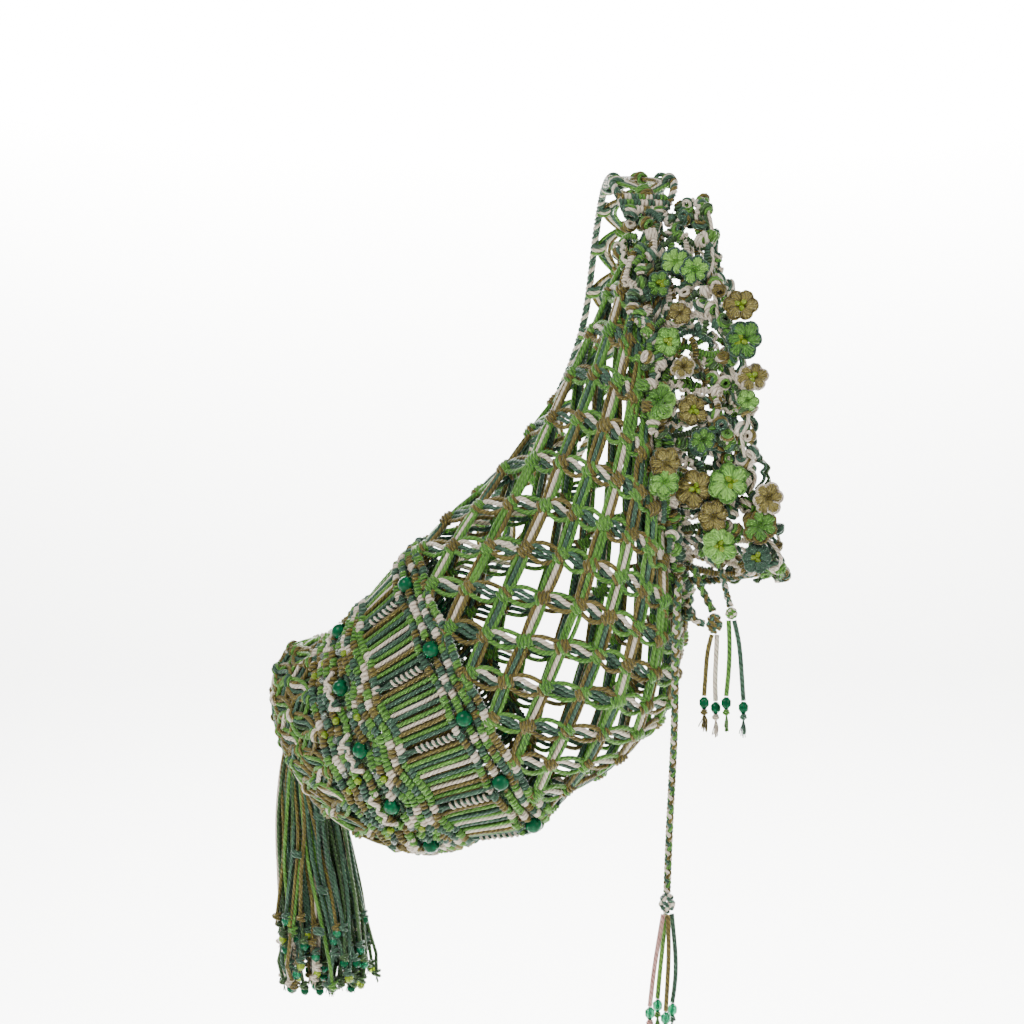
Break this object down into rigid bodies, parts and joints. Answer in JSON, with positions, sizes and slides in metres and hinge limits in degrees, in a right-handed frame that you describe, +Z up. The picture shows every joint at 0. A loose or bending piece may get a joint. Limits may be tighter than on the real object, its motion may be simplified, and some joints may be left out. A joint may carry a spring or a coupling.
{
  "type": "macrame shoulder bag",
  "caption": "Knotted net sling bag with a beaded hitched base, lace mouth with crocheted flowers, tassel, drawstring and wide shoulder strap, hanging as worn.",
  "frame": {"origin": "underside of the strap on top of the wearer's shoulder", "axes": "+Z up, -Y from the wearer's back to the viewer, +X to the wearer's right; the mouth opens towards +X"},
  "size_m": [0.4974, 0.3739, 0.8052],
  "materials": {
    "cord_light_green": "matte",
    "cord_olive": "matte",
    "cord_spruce": "matte",
    "cord_cream": "matte",
    "glass_green": "glossy"
  },
  "bodies": {
    "root": {"net_body": "cord_light_green", "bead_band_upper": "cord_cream", "cord_ladder": "cord_spruce", "bead_band_lower": "cord_light_green", "base_net": "cord_olive", "mouth_rim": "cord_spruce", "mouth_frill": "cord_spruce", "base_collar": "cord_spruce", "tassel": "cord_spruce", "shoulder_strap": "cord_olive", "flower_01": "cord_olive", "flower_02": "cord_spruce", "flower_03": "cord_light_green", "flower_04": "cord_olive", "flower_05": "cord_spruce", "flower_06": "cord_light_green", "flower_07": "cord_olive", "flower_08": "cord_spruce", "flower_09": "cord_light_green", "flower_10": "cord_olive", "flower_11": "cord_spruce", "flower_12": "cord_light_green", "flower_13": "cord_olive", "flower_14": "cord_spruce", "flower_15": "cord_light_green", "flower_16": "cord_olive", "flower_17": "cord_spruce", "flower_18": "cord_light_green", "flower_19": "cord_olive", "flower_20": "cord_spruce", "flower_21": "cord_light_green", "flower_22": "cord_olive", "drawstring_long": "cord_spruce", "drawstring_loop": "cord_olive", "drawstring_short_a": "cord_spruce", "drawstring_short_b": "cord_olive", "drawstring_long_knot": "cord_olive", "drawstring_short_knot": "cord_olive", "drawstring_small_knot": "cord_olive", "drawstring_long_tail_1": "cord_cream", "drawstring_long_tail_2": "cord_light_green", "drawstring_long_tail_3": "cord_olive", "drawstring_long_tail_4": "cord_spruce", "drawstring_long_bead_1": "glass_green", "drawstring_long_bead_2": "glass_green", "drawstring_long_bead_3": "glass_green", "drawstring_long_bead_4": "glass_green", "drawstring_short_tail_1": "cord_cream", "drawstring_short_tail_2": "cord_light_green", "drawstring_short_tail_3": "cord_olive", "drawstring_short_tail_4": "cord_spruce", "drawstring_short_bead_1": "glass_green", "drawstring_short_bead_2": "glass_green", "drawstring_short_bead_3": "glass_green", "drawstring_short_bead_4": "glass_green"}
  },
  "joints": []
}
